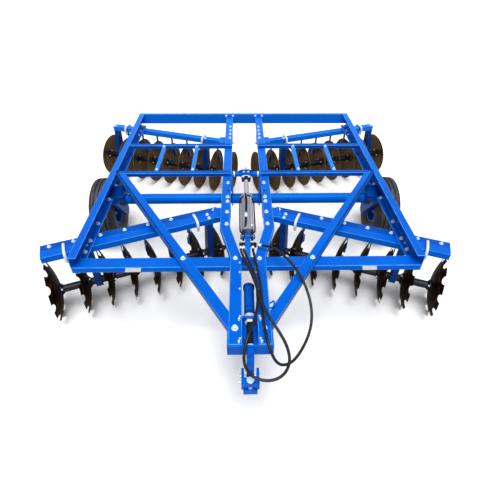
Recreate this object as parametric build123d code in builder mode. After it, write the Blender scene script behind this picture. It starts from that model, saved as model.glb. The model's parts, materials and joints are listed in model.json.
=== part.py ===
from build123d import *
from math import atan2, cos, degrees, hypot, pi, radians, sin, tan
import os

# Trailed tandem disc harrow, in millimetres.
# Origin on the floor under the middle of the rockshaft, +X right, +Y to the rear, +Z up.

# Frame, outer lines and levels
frame_half_width = 1400.0
frame_front = -1200.0
frame_rear = 1765.0
frame_top = 900.0
frame_bottom = 740.0
channel_wall = 8.0
rail_flange = 65.0
rear_beam_flange = 35.0
rear_beam_bottom = 770.0
front_beam_depth = 117.0
front_beam_height = 52.0
cross_height = 40.0
cross_width = 60.0
cross_upper_rear = 847.0
cross_lower_rear = 197.0
strut_width = 40.0
strut_places = (557.0, 935.0)

# Central beams and drawbar
beam_width = 90.0
beam_rear_x = 195.0
beam_front_x = 97.0
bend_rear = -735.0
bend_front = -1140.0
drawbar_front = -1990.0
brace_width = 80.0
brace_height = 50.0
brace_wall = 8.0
brace_rear_inset = 27.0
brace_rear_x = frame_half_width - brace_rear_inset
brace_rear_y = 191.0
brace_front_x = 150.0
brace_front_y = -1832.0
cheek_thickness = 8.0
cheek_rear = -1850.0
cheek_bottom = 762.0
head_plate = 12.0

# Tongue and hitch
neck_width = 50.0
neck_front = -2040.0
neck_rear = -1996.0
neck_top_z = 779.0
neck_gusset = 62.0
neck_gusset_step = 20.0
neck_bend_drop = 120.0
hitch_eye_y = -2018.0
hitch_z = 545.0
hitch_pivot_r = 10.0
clevis_half = 60.0
clevis_side = 18.0
clevis_front = -2115.0
clevis_rear = -1992.0
clevis_top = 600.0
upper_jaw_rear = -2062.0
upper_jaw_bottom = 560.0
lower_jaw_half = 48.0
lower_jaw_top = 515.0
lower_jaw_bottom = 475.0
hitch_pin_r = 14.0
hitch_pin_y = -2088.0
hitch_pin_bottom = 440.0
pin_head = 12.0

# Gangs
disc_radius = 280.0
disc_thickness = 5.0
disc_dish = 62.0
disc_flat_r = 72.0
disc_spacing = 220.0
outer_spacing = 250.0
shaft_side = 32.0
shaft_clearance = 0.2
spool_flange_r = 56.0
spool_flange = 9.0
spool_waist_r = 36.0
shaft_overhang = 46.0
notch_count = 10
notch_r = 40.0
notch_offset = 288.0
gang_beam_height = 60.0
gang_beam_wall = 5.0
strip_thickness = 10.0
scraper_shift = 79.0
blade_reach = 25.0
scraper_thickness = 8.0
scraper_width = 40.0
scraper_knee_z = 250.0
scraper_knee_bevel = 15.0
scraper_tip_y = 150.0
scraper_tip_z = 95.0
scraper_heel_y = 112.0
scraper_heel_z = 110.0
blade_near_y = 105.0
blade_far_y = 160.0
blade_top_z = 150.0
blade_bottom_z = 70.0
bearing_clearance = 0.3
housing_r = 60.0
hanger_width = 60.0
mount_half = 80.0
mount_step = 80.0
mount_plate = 12.0
front_angle = -21.5
front_count = 8
rear_angle = 18.0
rear_count = 9
front_run = (front_count - 2) * disc_spacing + outer_spacing
rear_run = (rear_count - 2) * disc_spacing + outer_spacing
front_beam_over = 40.0
rear_beam_short = 158.0
front_hanger_seats = (125.0, 130.0)
rear_hanger_seats = (65.0, 61.0)
front_hangers = (front_hanger_seats[0], (front_count - 3) * disc_spacing + front_hanger_seats[1])
rear_hangers = (disc_spacing + rear_hanger_seats[0], (rear_count - 2) * disc_spacing + rear_hanger_seats[1])

# Gang table columns: name, inner disc x and y, angle in degrees (outer end forward is
# negative), number of discs, side of the hollow face (1 outward, -1 inward), beam offset
# across the gang, beam ends along the gang, beam top, hangers' places along the gang,
# beam width, strip width, and how far the strip's top lies below the beam's
gang_table = (
    ("front", 263.0, -343.5, front_angle, front_count, 1, -36.0, (0.0, front_run + front_beam_over),
     740.0, front_hangers, 100.0, 86.0, 6.0),
    ("rear", 238.5, 1276.3, rear_angle, rear_count, -1, 20.0, (-70.0, rear_run - rear_beam_short),
     722.0, rear_hangers, 80.0, 27.0, 50.0),
)

# Rockshaft, arms and wheels
rockshaft_r = 52.5
rockshaft_z = 671.0
shaft_end_gap = 14.0
rockshaft_half = frame_half_width - shaft_end_gap
bearing_width = 60.0
bearing_wall = 16.0
bearing_seat_half = 110.0
bearing_seat = 14.0
bearing_shelf = 12.0
rail_bearing_inset = 65.0
arm_thickness = 40.0
arm_r = 62.0
wheel_y = 270.0
wheel_z = 358.0
wheel_standoff = 164.0
wheel_x = rockshaft_half + wheel_standoff
tyre_r = 358.0
tyre_width = 266.0
rim_r = 165.0
rim_width = 200.0
rim_wall = 8.0
hub_r = 62.0
axle_r = 25.0
axle_clearance = 0.3

# Lift cylinder
lever_length = 300.0
lever_lean = 4.0
lever_plate = 12.0
lever_inner = 132.0
lever_eye_r = 34.0
trunnion_half = 126.0
trunnion_r = 25.0
head_block = 60.0
head_block_half = 50.0
stop_rod_r = 7.0
stop_rod_top = 1046.0
collar_r = 52.0
collar_length = 24.0
rod_clevis_r = 32.0
rod_clevis_end = 146.0
pin_r = 15.0
base_pin_y = -985.0
base_pin_z = 930.0
base_pin_half = 60.0
fork_in = 26.0
fork_out = 46.0
fork_r = 34.0
barrel_r = 54.0
barrel_offset = 52.0
barrel_length = 515.0
gland_r = 57.0
gland_length = 40.0
rod_r = 21.0
rod_clearance = 0.3
rod_inside = 640.0
bracket_half = 22.0

# Levelling strut that lies between the central beams behind the drawbar's front plate
strut_z = 808.0
strut_front = -2034.0
strut_plate_y = -1752.0
strut_rod_r = 20.0
strut_collar_r = 36.0
strut_collar = 34.0
strut_can_r = 38.0
strut_can_length = 285.0
strut_cap_r = 42.0
strut_cap = 26.0
strut_nut_r = 27.0
strut_nut = 20.0

# Hoses and the manifold blocks on the bracket that their fittings screw into
hose_r = 10.0
fitting_r = 11.8
fitting_length = 34.0
manifold_x = (22.0, 70.0)
manifold_y = (-1060.0, -1034.0)
manifold_z = (879.0, 913.0)

# Centre line of the hose that swings out over the right brace and back to the drawbar
outer_hose = (
    (104, -1052, 896),
    (146, -1071, 904),
    (200, -1117, 926),
    (262, -1203, 933),
    (335, -1294, 912),
    (404, -1435, 875),
    (446, -1590, 808),
    (440, -1740, 745),
    (377, -1884, 704),
    (285, -2010, 686),
    (205, -2056, 712),
    (156, -2064, 778),
    (132, -2050, 838),
    (112, -2006, 876),
    (101, -1948, 886),
    (90, -1825, 878),
    (88, -1700, 882),
    (86, -1580, 905),
    (76, -1450, 922),
    (60, -1320, 928),
    (46, -1200, 920),
    (40, -1122, 903),
    (40, -1094, 896),
)

# Centre line of the hose that runs down the middle and round the tongue's neck
inner_hose = (
    (-58, -1094, 896),
    (-56, -1135, 906),
    (-40, -1225, 934),
    (-8, -1345, 948),
    (28, -1470, 952),
    (54, -1590, 952),
    (76, -1700, 945),
    (118, -1810, 928),
    (176, -1905, 896),
    (232, -1985, 840),
    (254, -2056, 770),
    (222, -2110, 708),
    (150, -2141, 680),
    (66, -2134, 672),
    (-6, -2104, 688),
    (-42, -2068, 756),
    (-42, -2046, 850),
    (-20, -1974, 902),
    (18, -1880, 908),
    (46, -1770, 912),
    (60, -1650, 914),
    (56, -1520, 916),
    (38, -1390, 918),
    (8, -1270, 916),
    (-20, -1170, 908),
    (-34, -1122, 900),
    (-34, -1094, 896),
)

os.makedirs("parts", exist_ok=True)


def save(name, node):
    node.part.label = name
    export_step(node.part, f"parts/{name}.step")


def section_plane(y):
    """Plane across the harrow at y, drawn in x and z, its normal forward."""
    return Plane(origin=(0, y, 0), x_dir=(1, 0, 0), z_dir=(0, -1, 0))


def block(x, y, z, **keywords):
    """Box between three pairs of limits."""
    size = [abs(b - a) for a, b in (x, y, z)]
    middle = [(a + b) / 2 for a, b in (x, y, z)]
    with Locations(tuple(middle)):
        Box(*size, **keywords)


def rod_along(axis, radius, start, end, at):
    """Cylinder along x, y or z between two limits, its other coordinates in at."""
    rotation = {"x": (0, 90, 0), "y": (90, 0, 0), "z": (0, 0, 0)}[axis]
    middle = (start + end) / 2
    centre = {"x": (middle, *at), "y": (at[0], middle, at[1]), "z": (*at, middle)}[axis]
    with Locations(centre):
        Cylinder(radius, abs(end - start), rotation=rotation)


# Main frame
front_beam_bottom = frame_bottom + channel_wall
beam_bottom = front_beam_bottom + front_beam_height
cross_top = frame_top - channel_wall
cross_bottom = cross_top - cross_height
beam_top = cross_bottom
rail_inner = frame_half_width - channel_wall
rail_toe = frame_half_width - rail_flange
rear_beam_front = frame_rear - rear_beam_flange

with BuildPart() as frame_rails:
    with BuildSketch(section_plane(rear_beam_front)):
        with BuildLine():
            Polyline(
                (frame_half_width, frame_bottom),
                (frame_half_width, frame_top),
                (rail_toe, frame_top),
                (rail_toe, cross_top),
                (rail_inner, cross_top),
                (rail_inner, front_beam_bottom),
                (rail_toe, front_beam_bottom),
                (rail_toe, frame_bottom),
                close=True,
            )
        make_face()
    extrude(amount=rear_beam_front - frame_front)
    mirror(about=Plane.YZ)

with BuildPart() as rear_beam:
    web_rear = rear_beam_front + channel_wall
    flange_top = frame_top - channel_wall
    flange_bottom = rear_beam_bottom + channel_wall
    with BuildSketch(Plane.YZ.offset(-frame_half_width)):
        with BuildLine():
            Polyline(
                (rear_beam_front, rear_beam_bottom),
                (rear_beam_front, frame_top),
                (frame_rear, frame_top),
                (frame_rear, flange_top),
                (web_rear, flange_top),
                (web_rear, flange_bottom),
                (frame_rear, flange_bottom),
                (frame_rear, rear_beam_bottom),
                close=True,
            )
        make_face()
    extrude(amount=2 * frame_half_width)
    end_cap = (rail_inner, frame_half_width)
    block(end_cap, (rear_beam_front, frame_rear), (rear_beam_bottom, frame_top))
    mirror(about=Plane.YZ)

with BuildPart() as front_beam:
    front_beam_rear = frame_front + front_beam_depth
    with BuildSketch(Plane.YZ.offset(-rail_inner)):
        with BuildLine():
            Polyline(
                (frame_front, front_beam_bottom),
                (frame_front, beam_bottom),
                (front_beam_rear, beam_bottom),
                (front_beam_rear, front_beam_bottom),
                (front_beam_rear - channel_wall, front_beam_bottom),
                (front_beam_rear - channel_wall, beam_bottom - channel_wall),
                (frame_front + channel_wall, beam_bottom - channel_wall),
                (frame_front + channel_wall, front_beam_bottom),
                close=True,
            )
        make_face()
    extrude(amount=2 * rail_inner)

with BuildPart() as central_beams:
    half = beam_width / 2
    with BuildSketch(Plane.XY.offset(beam_bottom)):
        with BuildLine():
            Polyline(
                (beam_rear_x - half, rear_beam_front),
                (beam_rear_x + half, rear_beam_front),
                (beam_rear_x + half, bend_rear),
                (beam_front_x + half, bend_front),
                (beam_front_x + half, drawbar_front),
                (beam_front_x - half, drawbar_front),
                (beam_front_x - half, bend_front),
                (beam_rear_x - half, bend_rear),
                close=True,
            )
        make_face()
    extrude(amount=beam_top - beam_bottom)
    mirror(about=Plane.YZ)

# Cross beams of each side, and the struts between them
with BuildPart() as cross_beams:
    cross_inner = beam_rear_x - beam_width / 2
    for rear_edge in (cross_upper_rear, cross_lower_rear):
        block((cross_inner, rail_inner), (rear_edge - cross_width, rear_edge), (cross_bottom, cross_top))
    mirror(about=Plane.YZ)

with BuildPart() as struts:
    for place in strut_places:
        strut_side = (place - strut_width / 2, place + strut_width / 2)
        strut_run = (cross_lower_rear, cross_upper_rear - cross_width)
        block(strut_side, strut_run, (cross_bottom, cross_top))
    mirror(about=Plane.YZ)

# Diagonal braces, channels laid web up from the rails' tops over the front beam to the drawbar
brace_run_x = brace_rear_x - brace_front_x
brace_run_y = brace_rear_y - brace_front_y
brace_run = hypot(brace_run_x, brace_run_y)
brace_seat_y = frame_front - brace_front_y - brace_width * brace_run_x / brace_run
brace_seat_run = brace_seat_y * brace_run / brace_run_y
brace_rise = frame_top + brace_wall - beam_bottom - brace_height
brace_slope = brace_rise / (brace_run - brace_seat_run)
brace_front_bottom = beam_bottom - brace_slope * brace_seat_run

with BuildPart() as braces:
    run = brace_run
    lean = atan2(brace_slope, 1)
    along = Vector(brace_run_x / run * cos(lean), brace_run_y / run * cos(lean), sin(lean))
    side = Vector(-brace_run_y / run, brace_run_x / run, 0)
    start = Vector(brace_front_x, brace_front_y, brace_front_bottom) - along * 2 * brace_width
    with BuildSketch(Plane(origin=start, x_dir=side, z_dir=along)):
        Rectangle(brace_width, brace_height, align=(Align.MIN, Align.MIN))
        with Locations((brace_wall, 0)):
            hollow = (brace_width - 2 * brace_wall, brace_height - brace_wall)
            Rectangle(*hollow, align=(Align.MIN, Align.MIN), mode=Mode.SUBTRACT)
    extrude(amount=run + 4 * brace_width)
    reach_x = (beam_front_x + beam_width / 2, frame_half_width)
    block(reach_x, (drawbar_front, brace_rear_y), (0, 2 * frame_top), mode=Mode.INTERSECT)
    cross_front = cross_lower_rear - cross_width
    block((beam_rear_x, rail_toe), (cross_front, frame_rear), (0, 2 * frame_top), mode=Mode.SUBTRACT)
    block((rail_toe, frame_half_width), (frame_front, frame_rear), (0, frame_top), mode=Mode.SUBTRACT)
    mirror(about=Plane.YZ)

# Drawbar head: outer cheeks, lower plate and the closing plate at the front
cheek_inner = beam_front_x + beam_width / 2
gap_half = beam_front_x - beam_width / 2
with BuildPart() as drawbar_head:
    outer = cheek_inner + cheek_thickness
    block((cheek_inner, outer), (drawbar_front, cheek_rear), (cheek_bottom, beam_top))
    mirror(about=Plane.YZ)
    front_plate_y = (drawbar_front - head_plate, drawbar_front)
    block((-outer, outer), front_plate_y, (cheek_bottom, beam_top))
    block((-outer, outer), (drawbar_front, strut_plate_y), (cheek_bottom, cheek_bottom + head_plate))
    cross_y = (strut_plate_y - head_plate, strut_plate_y)
    block((-gap_half, gap_half), cross_y, (cheek_bottom, beam_top))
    for plate_y in (strut_plate_y - head_plate / 2, drawbar_front - head_plate / 2):
        with Locations((0, plate_y, strut_z)):
            Cylinder(strut_rod_r + shaft_clearance, head_plate, rotation=(90, 0, 0), mode=Mode.SUBTRACT)

# Tongue, a neck that bends down from the front plate to the hitch's eye
tongue_root = drawbar_front - head_plate
with BuildPart() as tongue:
    with BuildSketch(Plane.YZ.offset(-neck_width / 2)):
        with BuildLine():
            Polyline(
                (tongue_root, neck_top_z),
                (tongue_root, cheek_bottom),
                (tongue_root + neck_gusset, cheek_bottom),
                (tongue_root + neck_gusset_step, cheek_bottom - neck_gusset),
                (neck_rear, cheek_bottom - neck_bend_drop),
                (neck_rear, hitch_z),
                (neck_front, hitch_z),
                (neck_front - 4, cheek_bottom - neck_bend_drop),
                (neck_front - 14, cheek_bottom - 50),
                (neck_front - 8, cheek_bottom - 12),
                (tongue_root - 26, neck_top_z),
                close=True,
            )
        make_face()
    extrude(amount=neck_width)
    eye_radius = (neck_rear - neck_front) / 2
    with Locations((0, hitch_eye_y, hitch_z)):
        Cylinder(eye_radius, neck_width, rotation=(0, 90, 0))
        Cylinder(hitch_pivot_r + rod_clearance, neck_width, rotation=(0, 90, 0), mode=Mode.SUBTRACT)

# Hitch clevis: cheeks beside the neck, each with a thinner wall down to the lower jaw
clevis_inner = clevis_half - clevis_side
cheek_foot = lower_jaw_top + 20
with BuildPart() as hitch_clevis:
    block((clevis_inner, clevis_half), (clevis_front, clevis_rear), (cheek_foot, clevis_top))
    block((clevis_inner, lower_jaw_half), (upper_jaw_rear, clevis_rear), (lower_jaw_top, cheek_foot))
    mirror(about=Plane.YZ)
    with Locations((0, hitch_eye_y, hitch_z)):
        pivot_bore = hitch_pivot_r + shaft_clearance
        Cylinder(pivot_bore, 3 * clevis_half, rotation=(0, 90, 0), mode=Mode.SUBTRACT)

# Upper jaw between the cheeks and lower jaw under their walls
with BuildPart() as hitch_jaws:
    block((-clevis_inner, clevis_inner), (clevis_front, upper_jaw_rear), (upper_jaw_bottom, clevis_top))
    jaw_x = (-lower_jaw_half, lower_jaw_half)
    block(jaw_x, (clevis_front, clevis_rear), (lower_jaw_bottom, lower_jaw_top))
    with Locations((0, hitch_pin_y, (lower_jaw_bottom + clevis_top) / 2)):
        Cylinder(hitch_pin_r + shaft_clearance, clevis_top, mode=Mode.SUBTRACT)

# Drawbar pin and the pivot pin through the neck's eye
with BuildPart() as hitch_pin:
    pin_place = (0, hitch_pin_y)
    rod_along("z", hitch_pin_r, hitch_pin_bottom, clevis_top + pin_head + 8, pin_place)
    rod_along("z", 1.7 * hitch_pin_r, clevis_top, clevis_top + pin_head, pin_place)
    rod_along("z", 1.7 * hitch_pin_r, lower_jaw_bottom - 1.6 * pin_head, lower_jaw_bottom, pin_place)
    pivot_reach = clevis_half + pin_head
    rod_along("x", hitch_pivot_r, -pivot_reach, pivot_reach, (hitch_eye_y, hitch_z))
    for head_x in (clevis_half, -pivot_reach):
        rod_along("x", 1.6 * hitch_pivot_r, head_x, head_x + pin_head, (hitch_eye_y, hitch_z))

# Levelling strut: threaded rod through the two plates, collar, and the blue canister
with BuildPart() as strut_rod:
    collar_rear = strut_plate_y + strut_collar
    rod_along("y", strut_rod_r, strut_front, collar_rear, (0, strut_z))
    rod_along("y", strut_collar_r, strut_plate_y, collar_rear, (0, strut_z))
    rod_along("y", strut_nut_r, drawbar_front, drawbar_front + strut_nut, (0, strut_z))
    rod_along("y", strut_nut_r, tongue_root - strut_nut, tongue_root, (0, strut_z))
    nut_rear = strut_plate_y - head_plate
    rod_along("y", strut_nut_r, nut_rear - strut_nut, nut_rear, (0, strut_z))

with BuildPart() as strut_can:
    can_rear = collar_rear + strut_can_length
    rod_along("y", strut_can_r, collar_rear, can_rear, (0, strut_z))
    rod_along("y", strut_cap_r, can_rear - strut_cap, can_rear, (0, strut_z))


# Gangs
def gang_vectors(angle):
    """Unit vectors along a right gang, outward, and across it, to the rear."""
    a = radians(angle)
    return Vector(cos(a), sin(a), 0), Vector(-sin(a), cos(a), 0)


def disc_stations(count):
    """Places of the discs along the gang; the outermost stands wider."""
    stations = [disc_spacing * i for i in range(count - 1)]
    stations.append(stations[-1] + outer_spacing)
    return stations


def turned(plane, points, axis_along):
    """Revolve a closed outline drawn in plane (along, radius) about the gang's axis."""
    with BuildSketch(plane) as outline:
        with BuildLine():
            Polyline(*points, close=True)
        make_face()
    revolve(outline.sketch, axis=axis_along)


def make_discs(origin, along, across, count, hollow, notched):
    """Dished discs of one gang: flat centre, conical rim, square bore, notched in front."""
    with BuildPart() as discs:
        for station in disc_stations(count):
            centre = origin + along * station
            draw = Plane(origin=centre, x_dir=along, z_dir=along.cross(Vector(0, 0, 1)))
            half = disc_thickness / 2
            rim = hollow * disc_dish
            outline = [
                (-half, 0),
                (half, 0),
                (half, disc_flat_r),
                (rim + half, disc_radius),
                (rim - half, disc_radius),
                (-half, disc_flat_r),
            ]
            turned(draw, outline, Axis(centre, along))
        for station in disc_stations(count):
            centre = origin + along * station
            face = Plane(origin=centre, x_dir=Vector(0, 0, 1), z_dir=along)
            bore = shaft_side + 2 * shaft_clearance
            with BuildSketch(face) as cut:
                Rectangle(bore, bore)
                if notched:
                    with PolarLocations(notch_offset, notch_count):
                        RegularPolygon(notch_r, 6)
            extrude(cut.sketch, amount=2 * disc_dish, both=True, mode=Mode.SUBTRACT)
    return discs


def make_spools(origin, along, count):
    """Square gang shaft with a flanged spool between each two discs and end washers."""
    stations = disc_stations(count)
    with BuildPart() as spools:
        half = disc_thickness / 2
        for near, far in zip(stations[:-1], stations[1:]):
            centre = origin + along * near
            draw = Plane(origin=centre, x_dir=along, z_dir=along.cross(Vector(0, 0, 1)))
            start, end = half, far - near - half
            outline = [
                (start, 0),
                (start, spool_flange_r),
                (start + spool_flange, spool_flange_r),
                (start + 3 * spool_flange, spool_waist_r),
                (end - 3 * spool_flange, spool_waist_r),
                (end - spool_flange, spool_flange_r),
                (end, spool_flange_r),
                (end, 0),
            ]
            turned(draw, outline, Axis(centre, along))
        for place, direction in ((stations[0], -1), (stations[-1], 1)):
            centre = origin + along * (place + direction * half)
            draw = Plane(origin=centre, x_dir=along, z_dir=along.cross(Vector(0, 0, 1)))
            outline = [
                (0, 0),
                (0, spool_flange_r),
                (direction * 12, spool_flange_r),
                (direction * 12, 28),
                (direction * (shaft_overhang - 14), 28),
                (direction * (shaft_overhang - 14), 0),
            ]
            turned(draw, outline, Axis(centre, along))
        first = origin + along * (stations[0] - shaft_overhang)
        with BuildSketch(Plane(origin=first, x_dir=Vector(0, 0, 1), z_dir=along)) as square:
            Rectangle(shaft_side, shaft_side)
        extrude(square.sketch, amount=stations[-1] - stations[0] + 2 * shaft_overhang)
    return spools


def place_gang(row):
    """Origin, direction along and direction across of a right gang."""
    along, across = gang_vectors(row[3])
    return Vector(row[1], row[2], disc_radius), along, across


rotor_nodes = []
for row in gang_table:
    name, count, hollow = row[0], row[4], row[5]
    origin, along, across = place_gang(row)
    discs = make_discs(origin, along, across, count, hollow, name == "front")
    spools = make_spools(origin, along, count)
    for piece, right in (("discs", discs), ("spools", spools)):
        with BuildPart() as left:
            mirror(right.part, about=Plane.YZ)
        rotor_nodes.append((f"{piece}_{name}_right", right))
        rotor_nodes.append((f"{piece}_{name}_left", left))

# Gang beams, rectangular tubes open at their ends
with BuildPart() as gang_beams:
    for row in gang_table:
        offset, ends, top = row[6:9]
        width = row[10]
        origin, along, across = place_gang(row)
        start = origin + along * ends[0] + across * offset
        place = Vector(start.X, start.Y, top - gang_beam_height / 2)
        with BuildSketch(Plane(origin=place, x_dir=across, z_dir=along)) as tube:
            Rectangle(width, gang_beam_height)
            inner = 2 * gang_beam_wall
            Rectangle(width - inner, gang_beam_height - inner, mode=Mode.SUBTRACT)
        extrude(tube.sketch, amount=ends[1] - ends[0])
    mirror(about=Plane.YZ)

# Strips along the beams' rear faces, for the scrapers
with BuildPart() as scraper_strips:
    for row in gang_table:
        offset, ends, top = row[6:9]
        width, strip_width, strip_drop = row[10:13]
        origin, along, across = place_gang(row)
        start = origin + along * ends[0] + across * (offset + width / 2 + strip_width / 2)
        place = Vector(start.X, start.Y, top - strip_drop - strip_thickness / 2)
        with BuildSketch(Plane(origin=place, x_dir=across, z_dir=along)) as strip:
            Rectangle(strip_width, strip_thickness)
        extrude(strip.sketch, amount=ends[1] - ends[0])
    mirror(about=Plane.YZ)

# Scraper arms with their blades, one to each disc within the strip's length
with BuildPart() as scraper_arms:
    for row in gang_table:
        count, hollow, offset, ends, top = row[4:9]
        width, strip_width, strip_drop = row[10:13]
        origin, along, across = place_gang(row)
        low = top - strip_drop - strip_thickness - disc_radius
        far = offset + width / 2 + strip_width - 10
        for station in disc_stations(count):
            place = station + hollow * scraper_shift
            if not ends[0] < place < ends[1]:
                continue
            draw = Plane(origin=origin + along * place, x_dir=across, z_dir=along)
            with BuildSketch(draw) as arm:
                with BuildLine():
                    Polyline(
                        (far - scraper_width, low),
                        (far, low),
                        (far, scraper_knee_z),
                        (scraper_tip_y, scraper_tip_z),
                        (scraper_heel_y, scraper_heel_z),
                        (far - scraper_width, scraper_knee_z + scraper_knee_bevel),
                        close=True,
                    )
                make_face()
            extrude(arm.sketch, amount=scraper_thickness / 2, both=True)
            with BuildSketch(draw) as blade:
                with BuildLine():
                    Polyline(
                        (blade_near_y, blade_top_z),
                        (blade_far_y, blade_top_z),
                        (blade_far_y, blade_bottom_z),
                        (blade_near_y, blade_bottom_z),
                        close=True,
                    )
                make_face()
            extrude(blade.sketch, amount=-hollow * blade_reach)
    mirror(about=Plane.YZ)

# Bearing hangers: a tapered leg under the beam with the bearing's housing
with BuildPart() as hangers:
    for row in gang_table:
        offset, ends, top, places, width = row[6:11]
        origin, along, across = place_gang(row)
        high = top - gang_beam_height - disc_radius
        near = offset - width / 2
        far = offset + width / 2
        for place in places:
            with BuildSketch(Plane(origin=origin + along * place, x_dir=across, z_dir=along)) as leg:
                with BuildLine():
                    Polyline(
                        (near, high),
                        (far, high),
                        (far, high - 30),
                        (housing_r - 8, 90),
                        (housing_r, 0),
                        (-housing_r, 0),
                        (-housing_r - 10, 90),
                        (near, high - 50),
                        close=True,
                    )
                make_face()
                Circle(housing_r)
                Circle(spool_waist_r + bearing_clearance, mode=Mode.SUBTRACT)
            extrude(leg.sketch, amount=hanger_width / 2, both=True)
    mirror(about=Plane.YZ)

# Blocks that carry the gang beams under the central beams, and packers under the rails
with BuildPart() as gang_mounts:
    for row in gang_table:
        offset, ends, top = row[6:9]
        origin, along, across = place_gang(row)
        line = origin + across * offset
        inner_edge = beam_rear_x - beam_width / 2
        outer_edge = beam_rear_x + beam_width / 2 + mount_step
        beam_y = line.Y + along.Y / along.X * (outer_edge - mount_step - line.X)
        mount_y = (beam_y - mount_half, beam_y + mount_half)
        block((inner_edge, outer_edge), mount_y, (top, top + mount_plate))
        block((inner_edge, outer_edge - mount_step), mount_y, (top + mount_plate, beam_bottom))
        if top < frame_bottom:
            rail_y = line.Y + along.Y / along.X * (rail_toe + rail_flange / 2 - line.X)
            packer_y = (rail_y - mount_half, rail_y + mount_half)
            block((rail_toe, frame_half_width), packer_y, (top, frame_bottom))
    mirror(about=Plane.YZ)

# Rockshaft, its bearings, lever and wheel arms
with BuildPart() as rockshaft:
    rod_along("x", rockshaft_r, -rockshaft_half, rockshaft_half, (0, rockshaft_z))

lever_pin_y = -lever_length * sin(radians(lever_lean))
lever_pin_z = rockshaft_z + lever_length * cos(radians(lever_lean))

with BuildPart() as lift_lever:
    lever_root = rockshaft_r + 24
    with BuildSketch(Plane.YZ.offset(lever_inner)):
        with BuildLine():
            Polyline(
                (-lever_root, rockshaft_z),
                (lever_pin_y - lever_eye_r, lever_pin_z),
                (lever_pin_y + lever_eye_r, lever_pin_z),
                (lever_root, rockshaft_z),
                close=True,
            )
        make_face()
        with Locations((0, rockshaft_z)):
            Circle(lever_root)
        with Locations((lever_pin_y, lever_pin_z)):
            Circle(lever_eye_r)
        with Locations((0, rockshaft_z)):
            Circle(rockshaft_r, mode=Mode.SUBTRACT)
    extrude(amount=lever_plate)
    head_start = lever_inner + lever_plate
    rod_along("x", 1.4 * pin_r, head_start, head_start + pin_head, (lever_pin_y, lever_pin_z))
    mirror(about=Plane.YZ)

arm_outer = rockshaft_half
arm_inner = arm_outer - arm_thickness
with BuildPart() as wheel_arms:
    arm_run = hypot(wheel_y, rockshaft_z - wheel_z)
    arm_angle = degrees(atan2(wheel_z - rockshaft_z, wheel_y))
    with BuildSketch(Plane.YZ.offset(arm_inner)):
        with Locations(Location((wheel_y / 2, (rockshaft_z + wheel_z) / 2), arm_angle)):
            SlotCenterToCenter(arm_run, 2 * arm_r)
        with Locations((0, rockshaft_z)):
            Circle(rockshaft_r, mode=Mode.SUBTRACT)
    extrude(amount=arm_thickness)
    rod_along("x", axle_r, arm_outer, wheel_x + 40, (wheel_y, wheel_z))
    mirror(about=Plane.YZ)

with BuildPart() as rockshaft_bearings:
    bore = rockshaft_r + bearing_clearance
    rail_bearing_x = rail_toe - rail_bearing_inset
    shelf_top = front_beam_bottom + bearing_shelf
    for place, top in ((beam_rear_x, beam_bottom), (rail_bearing_x, front_beam_bottom)):
        with BuildSketch(Plane.YZ.offset(place - bearing_width / 2)) as bearing:
            with BuildLine():
                Polyline(
                    (-bearing_seat_half, top),
                    (bearing_seat_half, top),
                    (bearing_seat_half, top - bearing_seat),
                    (bore + bearing_wall, rockshaft_z),
                    (-bore - bearing_wall, rockshaft_z),
                    (-bearing_seat_half, top - bearing_seat),
                    close=True,
                )
            make_face()
            with Locations((0, rockshaft_z)):
                Circle(bore + bearing_wall)
            with Locations((0, rockshaft_z)):
                Circle(bore, mode=Mode.SUBTRACT)
        extrude(bearing.sketch, amount=bearing_width)
    rail_shelf = (rail_bearing_x - bearing_width / 2, rail_inner)
    block(rail_shelf, (-110, 110), (front_beam_bottom, shelf_top))
    mirror(about=Plane.YZ)

# Wheels
with BuildPart() as tyre_right:
    half = tyre_width / 2
    with BuildSketch(Plane(origin=(wheel_x, wheel_y, wheel_z), x_dir=(1, 0, 0), z_dir=(0, -1, 0))):
        with BuildLine():
            Polyline(
                (-half + 33, rim_r),
                (-half, rim_r + 100),
                (-half + 50, tyre_r),
                (half - 50, tyre_r),
                (half, rim_r + 100),
                (half - 33, rim_r),
                close=True,
            )
        make_face()
    revolve(axis=Axis((wheel_x, wheel_y, wheel_z), (1, 0, 0)))

with BuildPart() as rim_right:
    half = rim_width / 2
    bore = axle_r + axle_clearance
    with BuildSketch(Plane(origin=(wheel_x, wheel_y, wheel_z), x_dir=(1, 0, 0), z_dir=(0, -1, 0))):
        with BuildLine():
            Polyline(
                (-half, rim_r),
                (-half, rim_r - 22),
                (-10, rim_r - 40),
                (-10, hub_r),
                (-70, hub_r),
                (-70, bore),
                (62, bore),
                (62, hub_r - 14),
                (0, hub_r),
                (0, rim_r - 40),
                (half, rim_r - 22),
                (half, rim_r),
                close=True,
            )
        make_face()
    revolve(axis=Axis((wheel_x, wheel_y, wheel_z), (1, 0, 0)))

wheel_nodes = []
for name, right in (("tyre", tyre_right), ("rim", rim_right)):
    with BuildPart() as left:
        mirror(right.part, about=Plane.YZ)
    wheel_nodes.append((f"{name}_right", right))
    wheel_nodes.append((f"{name}_left", left))

# Lift cylinder, drawn along its own line from base pin to lever pin
line_y = lever_pin_y - base_pin_y
line_z = lever_pin_z - base_pin_z
line_length = hypot(line_y, line_z)
cylinder_along = Vector(0, line_y / line_length, line_z / line_length)
base_pin = Vector(0, base_pin_y, base_pin_z)


def cylinder_plane(distance):
    """Plane across the cylinder's line at a distance from its base pin."""
    return Plane(origin=base_pin + cylinder_along * distance, x_dir=(1, 0, 0), z_dir=cylinder_along)


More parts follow.
